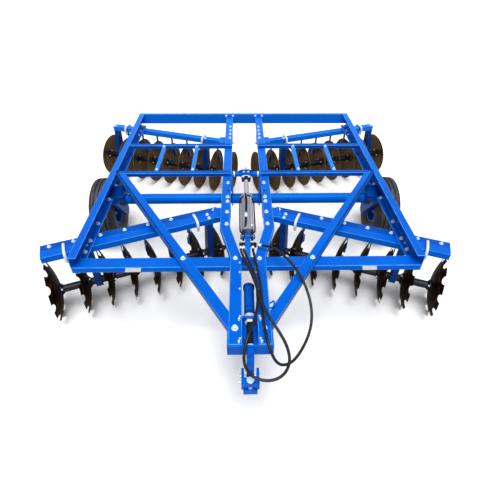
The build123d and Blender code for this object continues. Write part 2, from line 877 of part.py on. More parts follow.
with BuildPart() as cylinder_barrel:
    with BuildSketch(cylinder_plane(barrel_offset)):
        Circle(barrel_r)
    extrude(amount=barrel_length)
    with BuildSketch(cylinder_plane(barrel_offset + barrel_length - gland_length)):
        Circle(gland_r)
    extrude(amount=gland_length)
    with BuildSketch(Plane.YZ.offset(fork_in)):
        with Locations((base_pin_y, base_pin_z)):
            Circle(fork_r)
    extrude(amount=fork_out - fork_in)
    with BuildSketch(cylinder_plane(0)):
        with Locations(((fork_in + fork_out) / 2, 0)):
            Rectangle(fork_out - fork_in, 2 * fork_r)
    extrude(amount=barrel_offset)
    mirror(about=Plane.YZ)
    with Locations((0, base_pin_y, base_pin_z)):
        Cylinder(pin_r + rod_clearance, 2 * fork_out, rotation=(0, 90, 0), mode=Mode.SUBTRACT)
    with BuildSketch(cylinder_plane(barrel_offset + 30)):
        Circle(rod_r + rod_clearance)
    extrude(amount=barrel_length, mode=Mode.SUBTRACT)

# Rod with its clevis, collar, head block and the trunnion bar between the lever plates
with BuildPart() as cylinder_rod:
    with BuildSketch(cylinder_plane(line_length - rod_inside)):
        Circle(rod_r)
    extrude(amount=rod_inside)
    with BuildSketch(cylinder_plane(line_length - rod_clevis_end)):
        Circle(rod_clevis_r)
    extrude(amount=rod_clevis_end)
    with BuildSketch(cylinder_plane(line_length - head_block / 2 - collar_length)):
        Circle(collar_r)
    extrude(amount=collar_length)
    with BuildSketch(cylinder_plane(line_length - head_block / 2)):
        Rectangle(2 * head_block_half, head_block)
    extrude(amount=head_block)
    rod_along("x", trunnion_r, -trunnion_half, trunnion_half, (lever_pin_y, lever_pin_z))
    rod_along("z", stop_rod_r, lever_pin_z, stop_rod_top, (0, lever_pin_y))

# Bracket of the cylinder's base pin, a thick plate on the front beam
with BuildPart() as cylinder_bracket:
    with BuildSketch(Plane.YZ.offset(-bracket_half)):
        with BuildLine():
            Polyline(
                (frame_front + 10, beam_bottom),
                (front_beam_rear, beam_bottom),
                (base_pin_y + 12, base_pin_z - fork_r + 2),
                (base_pin_y - 12, base_pin_z + fork_r - 2),
                (frame_front + 60, beam_top),
                (frame_front + 10, beam_top - 20),
                close=True,
            )
        make_face()
        with Locations((base_pin_y, base_pin_z)):
            Circle(fork_r)
    extrude(amount=2 * bracket_half)
    rod_along("x", pin_r, -base_pin_half, base_pin_half, (base_pin_y, base_pin_z))
    for nut_x in (fork_out + 2, -base_pin_half):
        rod_along("x", 1.4 * pin_r, nut_x, nut_x + pin_head, (base_pin_y, base_pin_z))

# Manifold blocks beside the bracket, and a hose fitting at each hose end
with BuildPart() as hose_fittings:
    block(manifold_x, manifold_y, manifold_z)
    mirror(about=Plane.YZ)
    for route in (outer_hose, inner_hose):
        for end, neighbour in ((route[0], route[1]), (route[-1], route[-2])):
            axis = (Vector(*neighbour) - Vector(*end)).normalized()
            with BuildSketch(Plane(origin=Vector(*end) - axis * fitting_length, z_dir=axis)) as ferrule:
                Circle(fitting_r)
            extrude(ferrule.sketch, amount=fitting_length)


def bend_radii(points):
    """Largest radii that leave a short straight run between the bends."""
    radii = []
    for before, corner, after in zip(points[:-2], points[1:-1], points[2:]):
        arriving = Vector(*corner) - Vector(*before)
        leaving = Vector(*after) - Vector(*corner)
        turn = radians(arriving.get_angle(leaving))
        radii.append(0.45 * min(arriving.length, leaving.length) / tan(turn / 2))
    return radii


def make_hose(points):
    """Round hose along straight runs joined by arcs."""
    radii = bend_radii(points)
    print("hose bends", [round(r) for r in radii])
    with BuildPart() as hose:
        with BuildLine() as route:
            FilletPolyline(*points, radius=radii)
        line = route.wires()[0]
        with BuildSketch(Plane(origin=line @ 0, z_dir=line % 0)) as section:
            Circle(hose_r)
        sweep(section.sketch, path=line)
    straight_volume = line.length * pi * hose_r ** 2
    print("hose length", round(line.length), "volume ratio", round(hose.part.volume / straight_volume, 4))
    return hose


hose_outer = make_hose(outer_hose)
hose_inner = make_hose(inner_hose)

for node_name, node in (
    ("frame_rails", frame_rails),
    ("rear_beam", rear_beam),
    ("front_beam", front_beam),
    ("central_beams", central_beams),
    ("cross_beams", cross_beams),
    ("struts", struts),
    ("braces", braces),
    ("drawbar_head", drawbar_head),
    ("tongue", tongue),
    ("hitch_clevis", hitch_clevis),
    ("hitch_jaws", hitch_jaws),
    ("hitch_pin", hitch_pin),
    ("strut_rod", strut_rod),
    ("strut_can", strut_can),
    ("gang_mounts", gang_mounts),
    ("rockshaft", rockshaft),
    ("lift_lever", lift_lever),
    ("wheel_arms", wheel_arms),
    ("rockshaft_bearings", rockshaft_bearings),
    ("cylinder_barrel", cylinder_barrel),
    ("cylinder_rod", cylinder_rod),
    ("cylinder_bracket", cylinder_bracket),
    ("hose_fittings", hose_fittings),
    ("hose_outer", hose_outer),
    ("hose_inner", hose_inner),
    ("gang_beams", gang_beams),
    ("scraper_strips", scraper_strips),
    ("scraper_arms", scraper_arms),
    ("hangers", hangers),
    *rotor_nodes,
    *wheel_nodes,
):
    save(node_name, node)
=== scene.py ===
import bpy
import bmesh
import json
import math
import random
from collections import namedtuple
from mathutils import Matrix, Vector


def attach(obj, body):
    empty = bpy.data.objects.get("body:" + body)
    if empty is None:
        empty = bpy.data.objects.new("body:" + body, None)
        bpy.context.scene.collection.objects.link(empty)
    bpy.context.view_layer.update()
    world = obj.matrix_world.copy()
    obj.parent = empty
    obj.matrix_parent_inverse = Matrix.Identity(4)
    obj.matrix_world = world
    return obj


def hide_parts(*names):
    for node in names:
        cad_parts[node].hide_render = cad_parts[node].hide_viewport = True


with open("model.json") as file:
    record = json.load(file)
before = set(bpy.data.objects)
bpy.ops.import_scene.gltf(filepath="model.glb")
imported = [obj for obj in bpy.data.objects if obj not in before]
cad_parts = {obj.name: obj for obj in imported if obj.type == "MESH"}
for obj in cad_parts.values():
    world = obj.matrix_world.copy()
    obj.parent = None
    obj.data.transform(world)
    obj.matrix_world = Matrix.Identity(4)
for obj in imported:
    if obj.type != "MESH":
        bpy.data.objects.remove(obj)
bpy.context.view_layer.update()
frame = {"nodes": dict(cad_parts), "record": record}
scene = bpy.context.scene
nodes = frame["nodes"]
groups = frame["record"]["behaviour"]["bodies"]
body_of = {n: b for b, members in groups.items() for n in members}
slot_of = {s["node"]: s["material_slot"] for s in frame["record"]["subparts"]}
random.seed(7)


# Camera at the photograph's place, from a fit to the frame, gangs and wheels; turn holds yaw, pitch, roll
CAMERA_TURN = (1.646, 40.00, 0.575)
CAMERA_PLACE = (-0.0530, -3.5206, 2.9191)
FOCAL_PIXELS = 395.19
PHOTO_PIXELS = 500
SENSOR_MM = 36.0


def set_camera():
    yaw, pitch, roll = (math.radians(a) for a in CAMERA_TURN)
    fwd = Vector((math.sin(yaw) * math.cos(pitch), math.cos(yaw) * math.cos(pitch), -math.sin(pitch)))
    right = Vector((math.cos(yaw), -math.sin(yaw), 0))
    up = right.cross(fwd)
    r = math.cos(roll) * right + math.sin(roll) * up
    u = -math.sin(roll) * right + math.cos(roll) * up
    data = bpy.data.cameras.new("photo_camera")
    data.sensor_fit = "HORIZONTAL"
    data.sensor_width = SENSOR_MM
    data.lens = FOCAL_PIXELS / PHOTO_PIXELS * SENSOR_MM
    data.clip_end = 100
    cam = bpy.data.objects.new("photo_camera", data)
    m = Matrix((r, u, -fwd)).transposed().to_4x4()
    m.translation = Vector(CAMERA_PLACE)
    cam.matrix_world = m
    scene.collection.objects.link(cam)
    scene.camera = cam


set_camera()
scene.view_settings.view_transform = "Standard"


# Hoses, their centre lines as in the CAD, in metres
OUTER_HOSE = (
    (0.104, -1.052, 0.896), (0.146, -1.071, 0.904), (0.200, -1.117, 0.926), (0.262, -1.203, 0.933),
    (0.335, -1.294, 0.912), (0.404, -1.435, 0.875), (0.446, -1.590, 0.808), (0.440, -1.740, 0.745),
    (0.377, -1.884, 0.704), (0.285, -2.010, 0.686), (0.205, -2.056, 0.712), (0.156, -2.064, 0.778),
    (0.132, -2.050, 0.838), (0.112, -2.006, 0.876), (0.101, -1.948, 0.886), (0.090, -1.825, 0.878),
    (0.088, -1.700, 0.882), (0.086, -1.580, 0.905), (0.076, -1.450, 0.922), (0.060, -1.320, 0.928),
    (0.046, -1.200, 0.920), (0.040, -1.122, 0.903), (0.040, -1.094, 0.896),
)
INNER_HOSE = (
    (-0.058, -1.094, 0.896), (-0.056, -1.135, 0.906), (-0.040, -1.225, 0.934), (-0.008, -1.345, 0.948),
    (0.028, -1.470, 0.952), (0.054, -1.590, 0.952), (0.076, -1.700, 0.945), (0.118, -1.810, 0.928),
    (0.176, -1.905, 0.896), (0.232, -1.985, 0.840), (0.254, -2.056, 0.770), (0.222, -2.110, 0.708),
    (0.150, -2.141, 0.680), (0.066, -2.134, 0.672), (-0.006, -2.104, 0.688), (-0.042, -2.068, 0.756),
    (-0.042, -2.046, 0.850), (-0.020, -1.974, 0.902), (0.018, -1.880, 0.908), (0.046, -1.770, 0.912),
    (0.060, -1.650, 0.914), (0.056, -1.520, 0.916), (0.038, -1.390, 0.918), (0.008, -1.270, 0.916),
    (-0.020, -1.170, 0.908), (-0.034, -1.122, 0.900), (-0.034, -1.094, 0.896),
)
HOSE_R = 0.010


# Materials
NOISE_DETAIL = 6
NOISE_ROUGHNESS = 0.6
RAMP_HALF = 0.15
# Span in Y over which the painted reflection at the rear grows
REAR_SHEEN_SPAN = (-0.3, 1.7)
GRAIN_DETAIL = 3
GRAIN_DEPTH = 0.002


def new_material(name):
    m = bpy.data.materials.new(name)
    m.use_nodes = True
    return m, m.node_tree, m.node_tree.nodes["Principled BSDF"]


def mottled(name, base, dark, scale, rough, metallic=0.0, spread=0.06, bump=0.0, bump_scale=60.0,
            specular=0.5, tint=(1, 1, 1), stretch=(1, 1, 1), coords="Object", middle=0.5, rear=None):
    """Principled material whose colour and roughness vary over the surface, with a fine bump.

    middle is the noise level between dark and base; rear is a lighter colour mixed in towards the rear, a
    painted reflection.
    """
    m, tree, shader = new_material(name)
    link = tree.links.new
    where = tree.nodes.new("ShaderNodeTexCoord")
    turn = tree.nodes.new("ShaderNodeMapping")
    turn.inputs["Scale"].default_value = stretch
    link(where.outputs[coords], turn.inputs["Vector"])
    noise = tree.nodes.new("ShaderNodeTexNoise")
    noise.inputs["Scale"].default_value = scale
    noise.inputs["Detail"].default_value = NOISE_DETAIL
    noise.inputs["Roughness"].default_value = NOISE_ROUGHNESS
    link(turn.outputs["Vector"], noise.inputs["Vector"])
    ramp = tree.nodes.new("ShaderNodeValToRGB")
    ramp.color_ramp.elements[0].position = middle - RAMP_HALF
    ramp.color_ramp.elements[1].position = middle + RAMP_HALF
    ramp.color_ramp.elements[0].color = (*dark, 1)
    ramp.color_ramp.elements[1].color = (*base, 1)
    link(noise.outputs["Fac"], ramp.inputs["Fac"])
    paint = ramp.outputs["Color"]
    # Painted reflection: the colour is mixed towards a lighter one at the rear
    if rear:
        apart = tree.nodes.new("ShaderNodeSeparateXYZ")
        link(where.outputs["Object"], apart.inputs["Vector"])
        share = tree.nodes.new("ShaderNodeMapRange")
        share.inputs["From Min"].default_value = REAR_SHEEN_SPAN[0]
        share.inputs["From Max"].default_value = REAR_SHEEN_SPAN[1]
        link(apart.outputs["Y"], share.inputs["Value"])
        rear_sheen_mix = tree.nodes.new("ShaderNodeMixRGB")
        rear_sheen_mix.inputs["Color2"].default_value = (*rear, 1)
        link(share.outputs["Result"], rear_sheen_mix.inputs["Fac"])
        link(paint, rear_sheen_mix.inputs["Color1"])
        paint = rear_sheen_mix.outputs["Color"]
    link(paint, shader.inputs["Base Color"])
    span = tree.nodes.new("ShaderNodeMapRange")
    span.inputs["To Min"].default_value = max(0.02, rough - spread)
    span.inputs["To Max"].default_value = min(1.0, rough + spread)
    link(noise.outputs["Fac"], span.inputs["Value"])
    link(span.outputs["Result"], shader.inputs["Roughness"])
    shader.inputs["Metallic"].default_value = metallic
    shader.inputs["Specular IOR Level"].default_value = specular
    shader.inputs["Specular Tint"].default_value = (*tint, 1)
    if bump:
        grain = tree.nodes.new("ShaderNodeTexNoise")
        grain.inputs["Scale"].default_value = bump_scale
        grain.inputs["Detail"].default_value = GRAIN_DETAIL
        link(turn.outputs["Vector"], grain.inputs["Vector"])
        lift = tree.nodes.new("ShaderNodeBump")
        lift.inputs["Strength"].default_value = bump
        lift.inputs["Distance"].default_value = GRAIN_DEPTH
        link(grain.outputs["Fac"], lift.inputs["Height"])
        link(lift.outputs["Normal"], shader.inputs["Normal"])
    return m


PAINT = {"bump": 0.10, "bump_scale": 35.0, "specular": 0.35}
# The blue grows lighter towards the rear, a painted reflection, not a change in the paint
BLUE = mottled("blue_paint", (0.0, 0.118, 0.63), (0.0, 0.098, 0.55), scale=3.0, rough=0.30,
               tint=(0.02, 0.40, 1.0), rear=(0.006, 0.175, 0.76), **PAINT)
# Lighter blue for the rounded edges: a painted highlight along them
BLUE_EDGE_HIGHLIGHT = mottled("blue_paint_edge_highlights", (0.080, 0.40, 1.0), (0.010, 0.22, 0.86), scale=14.0, rough=0.28,
                    tint=(0.3, 0.6, 1.0))
# Lighter copy of the blue paint: painted light on the struts
BLUE_PAINTED_LIGHT = mottled("blue_paint_painted_light", (0.020, 0.25, 0.80), (0.010, 0.19, 0.70), scale=5.0, rough=0.30,
                     tint=(0.05, 0.40, 1.0), **PAINT)
# Darker copy of the blue paint: painted shade for parts that sit in shadow
BLUE_PAINTED_SHADE = mottled("blue_paint_painted_shade", (0.0, 0.085, 0.47), (0.0, 0.060, 0.36), scale=5.0, rough=0.32,
                     tint=(0.05, 0.40, 1.0), **PAINT)
NAVY = mottled("dark_blue_paint", (0.0, 0.045, 0.28), (0.0, 0.022, 0.16), scale=9.0, rough=0.36,
               bump=0.15, specular=0.4, tint=(0.2, 0.5, 1.0))
REAR_DISC = mottled("rear_disc_steel", (0.210, 0.120, 0.050), (0.060, 0.034, 0.015), scale=3.0, rough=0.38,
                    metallic=0.35, bump=0.25, specular=0.25, tint=(1.0, 0.75, 0.5), stretch=(10, 4, 1),
                    coords="UV")
FRONT_DISC = mottled("front_disc_steel", (0.150, 0.065, 0.022), (0.004, 0.0025, 0.0012), scale=3.0,
                     rough=0.45, metallic=0.15, bump=0.3, specular=0.08, tint=(1.0, 0.7, 0.4),
                     stretch=(5, 3, 1), coords="UV", middle=0.64)
DISC_EDGE = mottled("disc_ground_edge", (0.42, 0.34, 0.25), (0.20, 0.14, 0.09), scale=30.0, rough=0.30,
                    metallic=0.6, bump=0.1)
CAST = mottled("cast_black", (0.012, 0.016, 0.034), (0.004, 0.004, 0.008), scale=12.0, rough=0.42,
               bump=0.3, specular=0.35)
ZINC = mottled("zinc", (0.84, 0.93, 1.0), (0.66, 0.78, 0.92), scale=40.0, rough=0.26, metallic=0.15,
               bump=0.1)
CHROME = mottled("chrome_rod", (0.84, 0.85, 0.87), (0.74, 0.75, 0.78), scale=8.0, rough=0.16,
                 metallic=0.7, spread=0.04)
GREY = mottled("cylinder_grey", (0.42, 0.45, 0.53), (0.24, 0.27, 0.35), scale=6.0, rough=0.30,
               metallic=0.35, bump=0.12, stretch=(1, 0.2, 1))
RUBBER = mottled("tyre_rubber", (0.050, 0.052, 0.060), (0.022, 0.023, 0.028), scale=25.0, rough=0.45,
                 bump=0.35, bump_scale=180.0)
HOSE = mottled("hose_rubber", (0.014, 0.014, 0.017), (0.007, 0.007, 0.009), scale=60.0, rough=0.38,
               bump=0.25, bump_scale=400.0, specular=0.35)
PLATE = mottled("blank_plate", (0.80, 0.84, 0.90), (0.62, 0.68, 0.76), scale=30.0, rough=0.35, bump=0.05)
DARK = mottled("dark_steel", (0.030, 0.026, 0.028), (0.010, 0.009, 0.010), scale=20.0, rough=0.35,
               metallic=0.5, bump=0.2)

BY_SLOT = {"blue_paint": BLUE, "dark_blue_paint": NAVY, "disc_steel": REAR_DISC, "cast_black": CAST,
           "zinc": ZINC, "chrome_rod": CHROME, "cylinder_grey": GREY, "tyre_rubber": RUBBER,
           "rim_paint": BLUE, "hose_rubber": HOSE}
for name, obj in nodes.items():
    obj.data.materials.clear()
    obj.data.materials.append(BY_SLOT[slot_of[name]])


# Mesh building
EDGE_ANGLE = 30
SAME_POINT = 1e-5
FLAT_ANGLE = 1.0


def finish_mesh(name, bm, body, material, angle=32, stands_for=()):
    """Object from a bmesh, shaded smooth below an angle, riding on a body."""
    mesh = bpy.data.meshes.new(name)
    bmesh.ops.recalc_face_normals(bm, faces=bm.faces)
    bm.to_mesh(mesh)
    bm.free()
    mesh.materials.append(material)
    mesh.shade_smooth()
    mesh.set_sharp_from_angle(angle=math.radians(angle))
    obj = bpy.data.objects.new(name, mesh)
    scene.collection.objects.link(obj)
    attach(obj, body)
    if stands_for:
        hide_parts(*stands_for)
    return obj


def round_edges(obj, width, segments):
    bevel = obj.modifiers.new("edges", "BEVEL")
    bevel.width = width
    bevel.segments = segments
    return bevel


def dress(node, width, segments=2, material=None, edge=None):
    """The node's own solid with rounded edges, which may have their own material."""
    slot = slot_of[node]
    bm = bmesh.new()
    bm.from_mesh(nodes[node].data)
    bmesh.ops.remove_doubles(bm, verts=bm.verts, dist=SAME_POINT)
    bmesh.ops.dissolve_limit(bm, angle_limit=math.radians(FLAT_ANGLE), verts=bm.verts, edges=bm.edges)
    obj = finish_mesh(node + "_shape", bm, body_of[node], material or BY_SLOT[slot],
                      stands_for=(node,))
    bevel = round_edges(obj, width, segments)
    bevel.limit_method = "ANGLE"
    bevel.angle_limit = math.radians(EDGE_ANGLE)
    bevel.use_clamp_overlap = True
    bevel.harden_normals = True
    if edge:
        obj.data.materials.append(edge)
        bevel.material = 1


def cross_vectors(axis):
    """The axis at unit length with two unit vectors square to it."""
    axis = Vector(axis).normalized()
    helper = Vector((0, 0, 1)) if abs(axis.z) < 0.9 else Vector((1, 0, 0))
    u = axis.cross(helper).normalized()
    return axis, u, axis.cross(u)


def lathe(bm, origin, axis, profile, segments=24, turn=0.0, closed=False):
    """Turned solid; profile holds (distance along axis, radius) pairs."""
    axis, u, v = cross_vectors(axis)
    origin = Vector(origin)
    rings = []
    for along, radius in profile:
        if radius < 1e-6:
            rings.append([bm.verts.new(origin + axis * along)])
            continue
        ring = []
        for i in range(segments):
            a = 2 * math.pi * i / segments + turn
            ring.append(bm.verts.new(origin + axis * along + (u * math.cos(a) + v * math.sin(a)) * radius))
        rings.append(ring)
    pairs = list(zip(rings[:-1], rings[1:]))
    if closed:
        pairs.append((rings[-1], rings[0]))
    for first, second in pairs:
        for i in range(segments):
            j = (i + 1) % segments
            if len(first) == 1 and len(second) == 1:
                break
            if len(first) == 1:
                bm.faces.new((first[0], second[i], second[j]))
            elif len(second) == 1:
                bm.faces.new((first[i], first[j], second[0]))
            else:
                bm.faces.new((first[i], first[j], second[j], second[i]))


def bolt(bm, at, axis=(0, 0, 1), size=0.024, height=0.012, washer=True):
    """Hexagon head, on a washer unless told otherwise; size is across the corners."""
    r = size / 2
    base = 0.0
    if washer:
        base = 0.003
        washer_r = 1.35 * r
        rim_r = 1.28 * r
        lathe(bm, at, axis, ((0, 0), (0, washer_r), (0.0025, washer_r), (base, rim_r), (base, 0)), 18)
    turn = random.uniform(0, 1)
    top = base + height
    lathe(bm, at, axis, ((base, 0), (base, r), (base + height * 0.8, r), (top, r * 0.82), (top, 0)), 6, turn)


def rod(bm, start, end, radius, segments=16, chamfer=0.0015):
    """Straight round bar with chamfered ends."""
    start, end = Vector(start), Vector(end)
    length = (end - start).length
    small = radius - chamfer
    lathe(bm, start, end - start, ((0, 0), (0, small), (chamfer, radius), (length - chamfer, radius),
                                   (length, small), (length, 0)), segments)


def pipe(bm, points, radius, segments=12):
    """Round bar that follows points, mitred at its bends."""
    points = [Vector(p) for p in points]
    steps = [(q - p).normalized() for p, q in zip(points[:-1], points[1:])]
    angles = [2 * math.pi * k / segments for k in range(segments)]
    u = cross_vectors(points[1] - points[0])[1]
    rings = []
    for i, p in enumerate(points):
        before = steps[max(i - 1, 0)]
        after = steps[min(i, len(steps) - 1)]
        mid = (before + after).normalized()
        u = (u - mid * u.dot(mid)).normalized()
        v = mid.cross(u)
        rings.append([bm.verts.new(p + (u * math.cos(a) + v * math.sin(a)) * radius) for a in angles])
    for first, second in zip(rings[:-1], rings[1:]):
        for k in range(segments):
            j = (k + 1) % segments
            bm.faces.new((first[k], first[j], second[j], second[k]))
    bm.faces.new(rings[0])
    bm.faces.new(rings[-1])


def plank(bm, x, y, z):
    """Box between limits; its edges are rounded by the caller."""
    corners = [bm.verts.new((a, b, c)) for a in x for b in y for c in z]
    for face in ((0, 1, 3, 2), (4, 6, 7, 5), (0, 4, 5, 1), (2, 3, 7, 6), (0, 2, 6, 4), (1, 5, 7, 3)):
        bm.faces.new([corners[i] for i in face])


def slab(bm, first, second):
    """Solid between two four-cornered outlines."""
    first = [bm.verts.new(p) for p in first]
    second = [bm.verts.new(p) for p in second]
    bm.faces.new(first)
    bm.faces.new(second)
    for k in range(4):
        j = (k + 1) % 4
        bm.faces.new((first[k], first[j], second[j], second[k]))


# Gangs in metres and degrees: inner disc's place, angle, number of discs, hollow side (1 outward), and
# the beam's offset, ends, top and width with the places of the hangers and clamps along the gang
Gang = namedtuple("Gang", ("x", "y", "angle", "count", "hollow", "beam_offset", "beam_ends", "beam_top",
                           "beam_width", "hangers", "clamps"))
GANGS = {
    "front": Gang(x=0.263, y=-0.3435, angle=-21.5, count=8, hollow=1, beam_offset=-0.036,
                  beam_ends=(0.000, 1.610), beam_top=0.740, beam_width=0.100,
                  hangers=(0.125, 1.230), clamps=(0.250, 1.417)),
    "rear": Gang(x=0.2385, y=1.2763, angle=18.0, count=9, hollow=-1, beam_offset=0.020,
                 beam_ends=(-0.070, 1.632), beam_top=0.722, beam_width=0.080,
                 hangers=(0.285, 1.601), clamps=(0.315, 1.430)),
}
SIDES = (("right", 1), ("left", -1))
SPACING = 0.220
OUTER_SPACING = 0.250


def gang_axes(gang, side):
    """Origin on the gang's line, direction outward and direction across to the rear."""
    a = math.radians(gang.angle)
    return (Vector((side * gang.x, gang.y, DISC_R)), Vector((side * math.cos(a), math.sin(a), 0)),
            Vector((-side * math.sin(a), math.cos(a), 0)))


def stations(count):
    """Places of the discs along the gang; the outer disc stands further off."""
    places = [SPACING * i for i in range(count - 1)]
    return places + [places[-1] + OUTER_SPACING]


# Discs: sizes in metres; ring shares run from the hub's hole to the rim
DISC_R = 0.280
DISC_DEPTH = 0.066
DISC_HALF = 0.0025
HOLE_R = 0.030
FLAT_R = 0.072
RING_SHARES = (0.0, 0.16, 0.34, 0.50, 0.66, 0.80, 0.92, 0.978, 1.0)
RIM_SHARE = 0.2
RIM_RUN = 0.016
PLAIN_SEGMENTS = 96
SPIN_STEP = 0.35
OUTER_SPIN = {"right": math.radians(16), "left": math.radians(8)}
# Notches: degrees of the edge's points are counted from each notch's middle
NOTCHES = 10
NOTCH_CENTRE = 0.276
NOTCH_R = 0.040
NOTCH_POINTS = (-18, -15, -12, -9.5, -8.35, -8.28, -7.8, -6.6, -4.8, -2.9, -1.0,
                1.0, 2.9, 4.8, 6.6, 7.8, 8.28, 8.35, 9.5, 12, 15)


def disc_edge(angle, notched):
    """Radius of the disc's edge at an angle, with ten round notches on a notched one."""
    if not notched:
        return DISC_R
    step = 2 * math.pi / NOTCHES
    off = (angle + step / 2) % step - step / 2
    reach = NOTCH_R ** 2 - (NOTCH_CENTRE * math.sin(off)) ** 2
    if reach <= 0:
        return DISC_R
    return min(DISC_R, NOTCH_CENTRE * math.cos(off) - math.sqrt(reach))


def disc_angles(notched):
    if not notched:
        return [2 * math.pi * i / PLAIN_SEGMENTS for i in range(PLAIN_SEGMENTS)]
    return [math.radians(360 / NOTCHES * n + point) for n in range(NOTCHES) for point in NOTCH_POINTS]


def dish(radius, depth):
    """How far the dished face stands off at a radius."""
    if radius <= FLAT_R:
        return 0.0
    return depth * ((radius ** 2 - FLAT_R ** 2) / (DISC_R ** 2 - FLAT_R ** 2))


def make_disc(bm, uv, centre, axis, depth, notched, spin):
    """Dished disc whose rim thins on one face; its texture runs round and outward."""
    axis, u, v = cross_vectors(axis)
    angles = disc_angles(notched)
    count = len(angles)
    sheets = []
    for face in (-1, 1):
        rings = []
        for share in RING_SHARES:
            ring = []
            for a in angles:
                edge = disc_edge(a, notched)
                r = HOLE_R + (edge - HOLE_R) * share
                thick = 1.0
                if face * depth >= 0:
                    thick = max(RIM_SHARE, min(1.0, (edge - r) / RIM_RUN + RIM_SHARE))
                spot = axis * (dish(r, depth) + face * DISC_HALF * thick)
                spot += (u * math.cos(a + spin) + v * math.sin(a + spin)) * r
                ring.append((bm.verts.new(centre + spot), a, r))
            rings.append(ring)
        sheets.append(rings)

    def quad(corners, wrap, ground):
        f = bm.faces.new([c[0] for c in corners])
        f.material_index = 1 if ground and not notched else 0
        for loop, (_, a, r) in zip(f.loops, corners):
            if wrap and a < math.pi - 1:
                a += 2 * math.pi
            loop[uv].uv = (a / (2 * math.pi), r / DISC_R)

    outer_band = len(RING_SHARES) - 2
    for rings in sheets:
        for n, (first, second) in enumerate(zip(rings[:-1], rings[1:])):
            for i in range(count):
                j = (i + 1) % count
                quad((first[i], first[j], second[j], second[i]), j == 0, n == outer_band)
    for k in (0, -1):
        first, second = sheets[0][k], sheets[1][k]
        for i in range(count):
            j = (i + 1) % count
            quad((first[i], first[j], second[j], second[i]), j == 0, k == -1)


def make_discs():
    for where, gang in GANGS.items():
        notched = where == "front"
        for word, side in SIDES:
            origin, along, _ = gang_axes(gang, side)
            bm = bmesh.new()
            uv = bm.loops.layers.uv.new("polar")
            for n, place in enumerate(stations(gang.count)):
                spin = SPIN_STEP * n if notched else 0.0
                if notched and n == gang.count - 1:
                    spin = OUTER_SPIN[word]
                make_disc(bm, uv, origin + along * place, along, gang.hollow * DISC_DEPTH, notched, spin)
            name = f"discs_{where}_{word}"
            discs = finish_mesh(name + "_shape", bm, f"gang_{where}_{word}",
                                FRONT_DISC if notched else REAR_DISC, angle=40,
                                stands_for=(name,))
            discs.data.materials.append(DISC_EDGE)


make_discs()


# Bolts through each spool's flanges and the end nuts of each gang shaft
def make_gang_hardware():
    bolts_each = 3
    circle_r = 0.046
    flange = 0.0115
    end_face = 0.0145
    for where, gang in GANGS.items():
        for word, side in SIDES:
            origin, along, across = gang_axes(gang, side)
            bm = bmesh.new()
            places = stations(gang.count)
            for n, (near, far) in enumerate(zip(places[:-1], places[1:])):
                for k in range(bolts_each):
                    a = 2 * math.pi * (k / bolts_each + 0.11 * n) + 0.5
                    out = across * math.cos(a) + Vector((0, 0, 1)) * math.sin(a)
                    spot = origin + out * circle_r
                    bolt(bm, spot + along * (near + flange), along, 0.019, 0.010)
                    bolt(bm, spot + along * (far - flange), -along, 0.019, 0.010)
            for place, way in ((places[0], -1), (places[-1], 1)):
                bolt(bm, origin + along * (place + way * end_face), along * way, 0.050, 0.015)
            finish_mesh(f"gang_bolts_{where}_{word}", bm, f"gang_{where}_{word}", ZINC)


make_gang_hardware()

for where in GANGS:
    for word, _ in SIDES:
        dress(f"spools_{where}_{word}", 0.002, 1)


# Steelwork with rounded edges; the lighter blue on the rounded edges is a painted highlight, and the darker
# copy of the blue is painted shade
PAINTED = {"frame_rails": 0.0045, "rear_beam": 0.0035, "front_beam": 0.005, "central_beams": 0.0055,
           "braces": 0.0040, "drawbar_head": 0.003, "hitch_clevis": 0.0025, "hitch_jaws": 0.0025,
           "gang_mounts": 0.0025, "gang_beams": 0.005, "lift_lever": 0.002}
# These parts take the darker copy of the blue as painted shade
SHADED = {"cross_beams": 0.004, "scraper_strips": 0.0025, "cylinder_bracket": 0.003, "wheel_arms": 0.004,
          "rim_right": 0.003, "rim_left": 0.003}
for node, width in PAINTED.items():
    dress(node, width, edge=BLUE_EDGE_HIGHLIGHT)
# The struts take the lighter copy of the blue as painted light, with painted edge highlights
dress("struts", 0.003, material=BLUE_PAINTED_LIGHT, edge=BLUE_EDGE_HIGHLIGHT)
for node, width in SHADED.items():
    dress(node, width, material=BLUE_PAINTED_SHADE, edge=BLUE_EDGE_HIGHLIGHT)
dress("tongue", 0.014, 4)
dress("scraper_arms", 0.0015, 1)
dress("hangers", 0.004)
# Bearings in the dark blue as painted shade, their edges in plain blue as a painted highlight
dress("rockshaft_bearings", 0.002, material=NAVY, edge=BLUE)
# The strut's canister takes the darker copy of the blue as painted shade
dress("strut_can", 0.003, material=BLUE_PAINTED_SHADE)
dress("strut_rod", 0.0015, 1, material=DARK)
dress("hose_fittings", 0.001, 1, material=DARK)


# Lift cylinder, laid out from its base pin towards the lever pin
BASE_PIN = Vector((0, -0.985, 0.930))
ROCKSHAFT_Z = 0.671
LEVER = 0.300
LEVER_LEAN = math.radians(4)
LEVER_PIN = Vector((0, -LEVER * math.sin(LEVER_LEAN), ROCKSHAFT_Z + LEVER * math.cos(LEVER_LEAN)))
REACH = (LEVER_PIN - BASE_PIN).length
ALONG = (LEVER_PIN - BASE_PIN).normalized()
LIFT = Vector((1, 0, 0)).cross(ALONG)


def on_cylinder(distance, x=0.0, lift=0.0):
    """Point at a distance along the cylinder from its base pin."""
    return BASE_PIN + ALONG * distance + Vector((x, 0, 0)) + LIFT * lift


